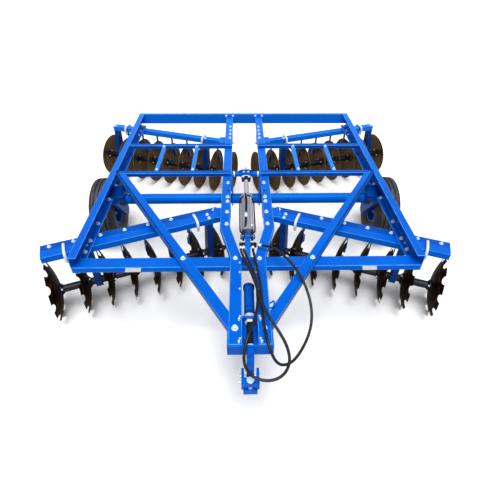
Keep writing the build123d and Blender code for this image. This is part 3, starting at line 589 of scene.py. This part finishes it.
def make_barrel():
    tube = ((0.052, 0), (0.052, 0.048), (0.056, 0.054), (0.070, 0.054), (0.073, 0.0515), (0.526, 0.0515),
            (0.527, 0.0555), (0.530, 0.057), (0.562, 0.057), (0.567, 0.053), (0.567, 0.0220),
            (0.560, 0.0215), (0.560, 0))
    bm = bmesh.new()
    lathe(bm, BASE_PIN, ALONG, tube, 48)
    finish_mesh("barrel_tube", bm, "cylinder_barrel", GREY, stands_for=("cylinder_barrel",))

    eye = ((-0.009, 0.0155), (-0.009, 0.033), (-0.001, 0.033), (0, 0.032), (0, 0.0155))
    cheek = ((0.006, -0.033), (0.006, 0.033), (0.060, 0.036), (0.060, -0.036))
    gland = ((0, 0.0520), (0.001, 0.0560), (0.020, 0.0560), (0.021, 0.0520))
    # Dark bars along both sides of the barrel
    side_dark_bar = ((0.045, 0.050, 0.004), (0.060, 0.0605, 0.006), (0.110, 0.0625, 0.008),
                 (0.470, 0.0625, 0.008), (0.520, 0.0615, 0.006), (0.545, 0.056, 0.004))
    rod_end_pipe = ((0.505, -0.010, 0.050), (0.505, -0.010, 0.068), (0.497, -0.010, 0.076),
                    (0.480, -0.009, 0.078), (0.380, -0.006, 0.070), (0.290, -0.009, 0.066),
                    (0.225, -0.011, 0.070))
    base_pipe = ((0.175, -0.012, 0.068), (0.120, -0.013, 0.062), (0.070, -0.018, 0.044),
                 (0.030, -0.019, 0.018), (0.012, -0.019, 0.000))
    bm = bmesh.new()
    for side in (-1, 1):
        near, far = side * 0.027, side * 0.045
        lathe(bm, (near, BASE_PIN.y, BASE_PIN.z), (-side, 0, 0), eye, 32, closed=True)
        lathe(bm, (far, BASE_PIN.y, BASE_PIN.z), (side, 0, 0), eye, 32, closed=True)
        slab(bm, [on_cylinder(d, near, h) for d, h in cheek], [on_cylinder(d, far, h) for d, h in cheek])
    lathe(bm, on_cylinder(0.505), ALONG, gland, 48)
    for side in (-1, 1):
        pipe(bm, [on_cylinder(d, side * x, h) for d, x, h in side_dark_bar], 0.0065, 10)
    pipe(bm, [on_cylinder(*place) for place in rod_end_pipe], 0.0105)
    pipe(bm, [on_cylinder(*place) for place in base_pipe], 0.0095)
    finish_mesh("barrel_pipes", bm, "cylinder_barrel", DARK)

    # Chrome line along the barrel's right side: a painted highlight for the light stripe along the barrel
    highlight_line = ((0.090, 0.036, 0.036), (0.100, 0.036, 0.044), (0.120, 0.036, 0.047),
                   (0.480, 0.034, 0.047), (0.497, 0.034, 0.044), (0.505, 0.033, 0.036))
    bm = bmesh.new()
    pipe(bm, [on_cylinder(*place) for place in highlight_line], 0.0085)
    finish_mesh("barrel_highlight_line", bm, "cylinder_barrel", CHROME)

    port = ((0, 0), (0, 0.016), (0.012, 0.016), (0.014, 0.013), (0.024, 0.012), (0.024, 0))
    union = ((0, 0), (0, 0.0115), (0.018, 0.0125), (0.019, 0.0145), (0.042, 0.0145), (0.044, 0.0115),
             (0.064, 0.0105), (0.064, 0))
    foot = ((0, 0), (0, 0.014), (0.014, 0.014), (0.014, 0))
    bm = bmesh.new()
    lathe(bm, on_cylinder(0.505, -0.010, 0.044), LIFT, port, 6)
    lathe(bm, on_cylinder(0.236, -0.011, 0.069), -ALONG, union, 6)
    lathe(bm, on_cylinder(0.200, -0.011, 0.046), LIFT, foot, 6)
    for side in (-1, 1):
        bolt(bm, (side * 0.0455, BASE_PIN.y, BASE_PIN.z), (side, 0, 0), 0.036, 0.012, washer=False)
    finish_mesh("barrel_fittings", bm, "cylinder_barrel", ZINC)


def make_rod():
    """Rod, its head, the squashed collar and the trunnion; distances run back from the lever pin."""
    bar = ((-0.640, 0), (-0.640, 0.019), (-0.638, 0.021), (-0.120, 0.021), (-0.120, 0))
    bm = bmesh.new()
    lathe(bm, BASE_PIN, ALONG, [(REACH + d, r) for d, r in bar], 32)
    finish_mesh("rod_bar", bm, "cylinder_rod", CHROME, stands_for=("cylinder_rod",))

    head = ((-0.132, 0.0212), (-0.132, 0.026), (-0.126, 0.029), (-0.092, 0.029), (-0.088, 0.024),
            (-0.068, 0.024), (-0.068, 0))
    fork = ((-0.136, 0.035), (-0.100, 0.036), (-0.058, 0.038))
    bm = bmesh.new()
    lathe(bm, BASE_PIN, ALONG, [(REACH + d, r) for d, r in head], 32)
    for side in (-1, 1):
        pipe(bm, [on_cylinder(REACH + d, side * x) for d, x in fork], 0.0075, 8)
    finish_mesh("rod_clevis", bm, "cylinder_rod", DARK)

    collar = ((-0.068, 0), (-0.068, 0.040), (-0.064, 0.048), (-0.058, 0.052), (-0.044, 0.052),
              (-0.040, 0.048), (-0.040, 0))
    squash = 0.50
    collar_drop = 0.011
    ring = ((0, 0.024), (0, 0.028), (0.002, 0.0295), (0.011, 0.0295), (0.012, 0.028), (0.012, 0.024))
    pin_top = 1.046
    pin_nut = ((0, 0), (0, 0.010), (0.008, 0.010), (0.008, 0))
    bm = bmesh.new()
    lathe(bm, BASE_PIN, ALONG, [(REACH + d, r) for d, r in collar], 40)
    for v in bm.verts:
        v.co -= LIFT * (squash * (v.co - BASE_PIN).dot(LIFT) + collar_drop)
    for x in (-0.034, 0.034):
        for lift in (-0.016, 0.016):
            way = LIFT if lift > 0 else -LIFT
            bolt(bm, on_cylinder(REACH + 0.004, x, lift + 0.012), way, 0.018, 0.012)
    for side in (-1, 1):
        bolt(bm, LEVER_PIN + Vector((side * 0.022, -0.016, 0.030)), (0, 0, 1), 0.020, 0.012, washer=False)
        lathe(bm, LEVER_PIN + Vector((side * 0.112, 0, 0)), (side, 0, 0), ring, 32, closed=True)
    rod(bm, LEVER_PIN, (LEVER_PIN.x, LEVER_PIN.y, pin_top), 0.0068, 14)
    lathe(bm, (0, LEVER_PIN.y, 1.018), (0, 0, 1), pin_nut, 6)
    finish_mesh("rod_collar", bm, "cylinder_rod", ZINC)

    half_long, half_high = 0.029, 0.030
    bm = bmesh.new()
    plank(bm, (-0.050, 0.050), (LEVER_PIN.y - half_long, LEVER_PIN.y + half_long),
          (LEVER_PIN.z - half_high, LEVER_PIN.z + half_high))
    block = finish_mesh("trunnion_block", bm, "cylinder_rod", BLUE)
    round_edges(block, 0.006, 3)

    stub = ((0, 0), (0, 0.030), (0.010, 0.030), (0.014, 0.025), (0.080, 0.025), (0.080, 0))
    bm = bmesh.new()
    for side in (-1, 1):
        lathe(bm, LEVER_PIN + Vector((side * 0.046, 0, 0)), (side, 0, 0), stub, 32)
    finish_mesh("trunnion_bar", bm, "cylinder_rod", BLUE)

    strap = ((-0.078, 0.018), (-0.060, 0.032), (-0.036, 0.041), (-0.012, 0.045), (0.012, 0.045),
             (0.036, 0.041), (0.060, 0.032), (0.078, 0.018))
    bm = bmesh.new()
    pipe(bm, [LEVER_PIN + Vector((x, -0.004, z)) for x, z in strap], 0.009, 10)
    finish_mesh("trunnion_strap", bm, "cylinder_rod", NAVY)


make_barrel()
make_rod()


# Drawbar pin with its head and nut, and the pivot pin through the neck's eye
def make_hitch_pins():
    pin_y = -2.088
    pivot_y, pivot_z = -2.018, 0.545
    shank = ((0, 0), (0, 0.011), (0.003, 0.014), (0.160, 0.014), (0.160, 0))
    head = ((0, 0), (0, 0.024), (0.002, 0.025), (0.009, 0.025), (0.012, 0.021), (0.013, 0.014),
            (0.017, 0.014), (0.020, 0.010), (0.020, 0))
    clip = ((-0.040, -2.062, 0.606), (-0.026, -2.070, 0.611), (-0.010, -2.085, 0.616),
            (0.010, -2.088, 0.616), (0.022, -2.080, 0.611))
    bm = bmesh.new()
    lathe(bm, (0, pin_y, 0.440), (0, 0, 1), shank, 28)
    lathe(bm, (0, pin_y, 0.600), (0, 0, 1), head, 28)
    bolt(bm, (0, pin_y, 0.475), (0, 0, -1), 0.046, 0.017)
    rod(bm, (-0.072, pivot_y, pivot_z), (0.072, pivot_y, pivot_z), 0.0098)
    for side in (-1, 1):
        bolt(bm, (side * 0.0602, pivot_y, pivot_z), (side, 0, 0), 0.032, 0.010, washer=False)
    pipe(bm, clip, 0.0032, 8)
    rod(bm, (-0.078, -2.072, 0.556), (-0.059, -2.072, 0.556), 0.009)
    finish_mesh("hitch_pins", bm, "hitch", ZINC, stands_for=("hitch_pin",))


make_hitch_pins()


# Hoses
def make_hose(name, points):
    curve = bpy.data.curves.new(name + "_line", "CURVE")
    curve.dimensions = "3D"
    curve.resolution_u = 10
    curve.bevel_depth = HOSE_R
    curve.bevel_resolution = 4
    curve.use_fill_caps = True
    spline = curve.splines.new("NURBS")
    spline.points.add(len(points) - 1)
    for point, place in zip(spline.points, points):
        point.co = (*place, 1.0)
    spline.order_u = 3
    spline.use_endpoint_u = True
    curve.materials.append(HOSE)
    obj = bpy.data.objects.new(name + "_line", curve)
    scene.collection.objects.link(obj)
    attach(obj, "frame")
    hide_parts(name)


make_hose("hose_outer", OUTER_HOSE)
make_hose("hose_inner", INNER_HOSE)


# Hose ends: crimped ferrules and swivel nuts over the CAD's fittings
def make_hose_ends():
    nut = ((0, 0), (0, 0.0115), (0.001, 0.0135), (0.011, 0.0135), (0.012, 0.0120), (0.012, 0))
    ferrule = [(0.012, 0), (0.012, 0.0118)]
    for k in range(4):
        step = 0.006 * k
        ferrule += [(0.0145 + step, 0.0128), (0.0165 + step, 0.0128), (0.0175 + step, 0.0120)]
    ferrule += [(0.040, 0.0124), (0.041, 0.0105)]
    bm = bmesh.new()
    for points in (OUTER_HOSE, INNER_HOSE):
        for end, neighbour in ((points[0], points[1]), (points[-1], points[-2])):
            end, neighbour = Vector(end), Vector(neighbour)
            axis = (neighbour - end).normalized()
            start = end - axis * 0.032
            lathe(bm, start, axis, nut, 6)
            lathe(bm, start, axis, ferrule, 20)
    finish_mesh("hose_end_fittings", bm, "frame", ZINC)


make_hose_ends()


# Collar and nut of the levelling strut, and the bands of its canister
def make_strut_trim():
    strut_z = 0.808
    rearward = (0, 1, 0)
    ribbed = ((0, 0.021), (0, 0.034), (0.003, 0.0366), (0.010, 0.0366), (0.012, 0.0352), (0.015, 0.0366),
              (0.022, 0.0366), (0.024, 0.0352), (0.027, 0.0366), (0.033, 0.0366), (0.0335, 0.021))
    bm = bmesh.new()
    lathe(bm, (0, -1.7524, strut_z), rearward, ribbed, 32, closed=True)
    for y, thick in ((-1.9896, 0.0206), (-1.7846, 0.0200)):
        nut = ((0, 0.021), (0, 0.030), (0.003, 0.0325), (0.017, 0.0325), (thick, 0.030), (thick, 0.021))
        lathe(bm, (0, y, strut_z), rearward, nut, 6, closed=True)
    finish_mesh("strut_collar", bm, "frame", ZINC)

    cap = ((0, 0), (0, 0.0235), (0.005, 0.0285), (0.0375, 0.0285), (0.0375, 0.021))
    bm = bmesh.new()
    lathe(bm, (0, -2.0344, strut_z), rearward, cap, 32)
    finish_mesh("strut_cap", bm, "frame", BLUE)

    bm = bmesh.new()
    for y, length, radius in ((-1.708, 0.016, 0.0388), (-1.658, 0.010, 0.0388), (-1.460, 0.028, 0.0426)):
        inner = radius - 0.002
        band = ((0, inner), (0, radius), (length, radius), (length, inner))
        lathe(bm, (0, y, strut_z), rearward, band, 40, closed=True)
    finish_mesh("strut_bands", bm, "frame", NAVY)


make_strut_trim()


# Bolts of the frame, on the tops of what they hold
RAIL_LIP_Z = 0.748
BEAM_Z = 0.852
BRACE_Z = 0.8505
CROSS_Z = 0.892
RAIL_X = 1.372
BEAM_X = 0.180


def make_frame_bolts():
    bm = bmesh.new()
    for y in (0.138, -0.130, -0.542, -0.794, -0.945, -1.057):
        for side in (-1, 1):
            bolt(bm, (side * RAIL_X, y, RAIL_LIP_Z), size=0.030, height=0.016)
    for y in (0.004, -0.260, -0.339, -0.515, -0.701):
        for side in (-1, 1):
            bolt(bm, (side * BEAM_X, y, BEAM_Z), size=0.028, height=0.014)
    for x, y in ((-0.101, -1.159), (0.091, -1.165)):
        bolt(bm, (x, y, BEAM_Z), size=0.028, height=0.014)
    for y in (-1.215, -1.325, -1.500, -1.760, -1.945):
        for side in (-1, 1):
            bolt(bm, (side * 0.066, y, BEAM_Z), size=0.015, height=0.010, washer=False)
    bolt(bm, (-0.100, -1.858, BEAM_Z), size=0.034, height=0.020)
    bolt(bm, (0.100, -1.858, BEAM_Z), size=0.022, height=0.014)
    for side in (-1, 1):
        bolt(bm, (side * 0.515, -1.156, BRACE_Z), size=0.030, height=0.016)
    for x in (0.557, 0.935):
        for side in (-1, 1):
            for y in (0.765, 0.220):
                bolt(bm, (side * x, y, CROSS_Z), size=0.022, height=0.012)
    for side in (-1, 1):
        for y in (1.080, 1.190, 1.300, 1.420):
            bolt(bm, (side * BEAM_X, y, BEAM_Z), size=0.026, height=0.013)
        for y in (1.410, 1.535, 1.690):
            bolt(bm, (side * RAIL_X, y, RAIL_LIP_Z), size=0.026, height=0.014)
        for x in (0.150, 0.240):
            bolt(bm, (side * x, 1.730, 0.876), axis=(0, -1, 0), size=0.022, height=0.012)
    for x, y in ((-0.072, -1.789), (-0.073, -1.972), (0.072, -1.789), (0.073, -1.972)):
        rod(bm, (x, y, 0.820), (x, y, 0.872), 0.0075)
        bolt(bm, (x, y, BEAM_Z), size=0.018, height=0.010, washer=False)
    finish_mesh("frame_bolts", bm, "frame", ZINC)

    # Flat dark dots on the beams stand for holes: painted shade in place of their insides
    hole_z, hole_height = 0.8515, 0.0012
    bm = bmesh.new()
    for side in (-1, 1):
        for x, y, r, segments in ((0.182, -0.141, 0.012, 20), (0.205, -0.610, 0.008, 16)):
            dot = ((0, 0), (0, r), (hole_height, r), (hole_height, 0))
            lathe(bm, (side * x, y, hole_z), (0, 0, 1), dot, segments)
    finish_mesh("frame_hole_shade_dots", bm, "frame", DARK)

    ring = ((0.143, -1.672, 0.838), (0.160, -1.676, 0.846), (0.171, -1.672, 0.862), (0.174, -1.650, 0.872),
            (0.171, -1.628, 0.862), (0.160, -1.624, 0.846), (0.143, -1.628, 0.838))
    bm = bmesh.new()
    pipe(bm, ring, 0.006, 10)
    finish_mesh("hose_ring", bm, "frame", BLUE)


make_frame_bolts()


# Clamps, end caps, dark seams of painted shade and bolts of the gang beams
BEAM_HEIGHT = 0.060
HOOP_R = 0.0135
HOOP_LIFT = 0.014
# One leg of a hoop: distance out from the beam's side, and height over the beam's top
HOOP_LEG = ((0, -BEAM_HEIGHT - 0.030), (0.004, -BEAM_HEIGHT - 0.006), (0.011, -BEAM_HEIGHT + 0.014),
            (0.013, -0.026), (0.009, -0.006), (-0.001, HOOP_LIFT - 0.006), (-0.014, HOOP_LIFT - 0.001),
            (-0.030, HOOP_LIFT))
CAP_HALF = 0.004
CAP_INSET = 0.006
STRIP_BOLTS = (0.038, 0.462, 0.680, 0.893, 1.105, 1.335, 1.534)


def beam_spot(axes, place, cross, z):
    """Point at a place along a gang and a distance across it, at height z."""
    origin, along, across = axes
    p = origin + along * place + across * cross
    return Vector((p.x, p.y, z))


def add_hoop(hoops, bolts, axes, gang, place):
    """Hoop over a gang beam with a nut under each leg."""
    reach = gang.beam_width / 2 + HOOP_R + 0.001
    near, far = gang.beam_offset - reach, gang.beam_offset + reach
    points = [beam_spot(axes, place, near - out, gang.beam_top + z) for out, z in HOOP_LEG]
    points += [beam_spot(axes, place, far + out, gang.beam_top + z) for out, z in reversed(HOOP_LEG)]
    pipe(hoops, points, HOOP_R)
    nut_z = gang.beam_top - BEAM_HEIGHT - 0.008
    for cross in (near, far):
        bolt(bolts, beam_spot(axes, place, cross, nut_z), axis=(0, 0, -1), size=0.026, height=0.014)


def add_cap(caps, axes, gang, end, way):
    """Plug in the open end of a gang beam."""
    along, across = axes[1:]
    centre = beam_spot(axes, end - way * 0.006, gang.beam_offset, gang.beam_top - BEAM_HEIGHT / 2)
    depth = along * way * CAP_HALF
    a = across * (gang.beam_width / 2 - CAP_INSET)
    b = Vector((0, 0, BEAM_HEIGHT / 2 - CAP_INSET))
    corners = [a * s + b * t for s, t in ((-1, -1), (1, -1), (1, 1), (-1, 1))]
    slab(caps, [centre + depth + c for c in corners], [centre - depth + c for c in corners])


def add_shade_seam(shade_seams, axes, gang):
    """Dark strip between a front gang beam and its scraper strip: painted shade in the step between them."""
    rear_face = gang.beam_offset + gang.beam_width / 2
    inner, outer = rear_face - 0.0005, rear_face + 0.0075
    start, end = gang.beam_ends
    outline = ((start, inner), (start, outer), (end, outer), (end, inner))
    low, high = ([beam_spot(axes, place, cross, gang.beam_top - drop) for place, cross in outline]
                 for drop in (0.0080, 0.0035))
    slab(shade_seams, low, high)


def make_gang_clamps():
    hoops, bolts, caps, shade_seams = (bmesh.new() for _ in range(4))
    for where, gang in GANGS.items():
        top = gang.beam_top
        rear_face = gang.beam_offset + gang.beam_width / 2
        for side in (-1, 1):
            axes = gang_axes(gang, side)
            for place in gang.clamps:
                add_hoop(hoops, bolts, axes, gang, place)
            add_cap(caps, axes, gang, gang.beam_ends[0], -1)
            add_cap(caps, axes, gang, gang.beam_ends[1], 1)
            if where == "front":
                add_shade_seam(shade_seams, axes, gang)
                for place in STRIP_BOLTS:
                    spot = beam_spot(axes, place, rear_face + 0.043, top - 0.006)
                    bolt(bolts, spot, size=0.026, height=0.013)
            else:
                for place in stations(gang.count):
                    spot = beam_spot(axes, place - 0.079, rear_face + 0.014, top - 0.050)
                    bolt(bolts, spot, size=0.020, height=0.010)
            for place in gang.hangers:
                for cross in (-0.030, 0.030):
                    bolt(bolts, beam_spot(axes, place, gang.beam_offset + cross, top))
    finish_mesh("gang_hoops", hoops, "frame", ZINC)
    finish_mesh("gang_beam_bolts", bolts, "frame", ZINC)
    finish_mesh("gang_beam_caps", caps, "frame", NAVY)
    finish_mesh("gang_beam_shade_seams", shade_seams, "frame", NAVY)


make_gang_clamps()


# Tyres with circumferential ribs; the outline runs up one side wall, as (across, radius)
WHEEL_X, WHEEL_Y, WHEEL_Z = 1.550, 0.270, 0.358
TYRE_OUTLINE = ((-0.092, 0.165), (-0.104, 0.172), (-0.110, 0.184), (-0.121, 0.205), (-0.130, 0.235),
                (-0.132, 0.262), (-0.131, 0.280), (-0.126, 0.305), (-0.122, 0.309), (-0.119, 0.322),
                (-0.113, 0.334), (-0.105, 0.344), (-0.096, 0.350))
TYRE_RIBS = ((-0.094, -0.058), (-0.046, -0.016), (0.016, 0.046), (0.058, 0.094))
CROWN_R = 0.3565
CROWN_FALL = 0.55
GROOVE = 0.014
WHEEL_BOLTS = 6
BOLT_CIRCLE_R = 0.085


def make_tyre(word, side):
    tread = []
    for a, b in TYRE_RIBS:
        crown_a = CROWN_R - CROWN_FALL * a * a
        crown_b = CROWN_R - CROWN_FALL * b * b
        tread += [(a, crown_a - GROOVE), (a + 0.002, crown_a - 0.002), (a + 0.004, crown_a),
                  (b - 0.004, crown_b), (b - 0.002, crown_b - 0.002), (b, crown_b - GROOVE)]
    far_side = [(-x, r) for x, r in reversed(TYRE_OUTLINE)]
    outward = (side, 0, 0)
    bm = bmesh.new()
    lathe(bm, (side * WHEEL_X, WHEEL_Y, WHEEL_Z), outward, [*TYRE_OUTLINE, *tread, *far_side], 120,
          closed=True)
    finish_mesh(f"tyre_{word}_shape", bm, f"wheel_{word}", RUBBER, angle=34,
                stands_for=(f"tyre_{word}",))

    hub_cap = ((0, 0), (0, 0.040), (0.012, 0.038), (0.020, 0.028), (0.022, 0))
    disc_thickness = 0.0115
    bm = bmesh.new()
    for k in range(WHEEL_BOLTS):
        a = 2 * math.pi * k / WHEEL_BOLTS
        p = Vector((side * 1.5505, WHEEL_Y + BOLT_CIRCLE_R * math.cos(a),
                    WHEEL_Z + BOLT_CIRCLE_R * math.sin(a)))
        bolt(bm, p, outward, 0.026, 0.016)
        bolt(bm, p - Vector((side * disc_thickness, 0, 0)), (-side, 0, 0), 0.022, 0.012)
    lathe(bm, (side * 1.612, WHEEL_Y, WHEEL_Z), outward, hub_cap, 24)
    finish_mesh(f"wheel_bolts_{word}", bm, f"wheel_{word}", ZINC)


for word, side in SIDES:
    make_tyre(word, side)


# Blank slanted plates on the front beam's face
def make_plates():
    front_y, back_y = -1.2018, -1.1998
    bm = bmesh.new()
    for corners in (((-0.969, 0.795), (-0.846, 0.795), (-0.858, 0.753), (-0.981, 0.753)),
                    ((0.916, 0.795), (1.031, 0.795), (1.040, 0.753), (0.925, 0.753))):
        slab(bm, [(x, front_y, z) for x, z in corners], [(x, back_y, z) for x, z in corners])
    finish_mesh("blank_plates", bm, "frame", PLATE)


make_plates()


# Floor, world and lamps; a lamp is its strength, its angle in degrees and where it shines from
FLOOR_HALF = 40
FLOOR_Z = -0.001
FLOOR_GLOW = 0.04
FLOOR_DULL = 0.45
WORLD_LIGHT = 0.38
WORLD_SEEN = 1.0
LAMPS = {"key": (3.1, 36, (0.10, -1.4, 5.6)), "fill": (0.6, 70, (-0.4, -5.0, 2.6))}


def make_floor():
    """Pale floor that the camera sees brighter than it shines on the part."""
    mesh = bpy.data.meshes.new("floor")
    bm = bmesh.new()
    bmesh.ops.create_grid(bm, x_segments=1, y_segments=1, size=FLOOR_HALF)
    bm.to_mesh(mesh)
    bm.free()
    floor = bpy.data.objects.new("floor", mesh)
    floor.location = (0, 0, FLOOR_Z)
    scene.collection.objects.link(floor)
    m, tree, shader = new_material("floor")
    shader.inputs["Base Color"].default_value = (0.95, 0.95, 0.95, 1)
    shader.inputs["Roughness"].default_value = 0.9
    shader.inputs["Specular IOR Level"].default_value = 0.0
    shader.inputs["Emission Color"].default_value = (1, 1, 1, 1)
    shader.inputs["Emission Strength"].default_value = FLOOR_GLOW
    dull = tree.nodes.new("ShaderNodeBsdfDiffuse")
    dull.inputs["Color"].default_value = (FLOOR_DULL, FLOOR_DULL, FLOOR_DULL, 1)
    path = tree.nodes.new("ShaderNodeLightPath")
    mix = tree.nodes.new("ShaderNodeMixShader")
    tree.links.new(path.outputs["Is Camera Ray"], mix.inputs[0])
    tree.links.new(dull.outputs[0], mix.inputs[1])
    tree.links.new(shader.outputs[0], mix.inputs[2])
    tree.links.new(mix.outputs[0], tree.nodes["Material Output"].inputs["Surface"])
    mesh.materials.append(m)


def make_world():
    world = bpy.data.worlds.new("studio")
    world.use_nodes = True
    scene.world = world
    tree = world.node_tree
    back = tree.nodes["Background"]
    back.inputs["Color"].default_value = (1, 1, 1, 1)
    path = tree.nodes.new("ShaderNodeLightPath")
    level = tree.nodes.new("ShaderNodeMapRange")
    level.inputs["To Min"].default_value = WORLD_LIGHT
    level.inputs["To Max"].default_value = WORLD_SEEN
    tree.links.new(path.outputs["Is Camera Ray"], level.inputs["Value"])
    tree.links.new(level.outputs["Result"], back.inputs["Strength"])


def make_lamp(name, energy, angle, place):
    """Soft sun that shines from place towards the origin."""
    lamp = bpy.data.lights.new(name, "SUN")
    lamp.energy = energy
    lamp.angle = math.radians(angle)
    obj = bpy.data.objects.new(name, lamp)
    obj.location = place
    obj.rotation_euler = (-Vector(place)).to_track_quat("-Z", "Y").to_euler()
    scene.collection.objects.link(obj)


make_floor()
make_world()
for name, lamp in LAMPS.items():
    make_lamp(name, *lamp)
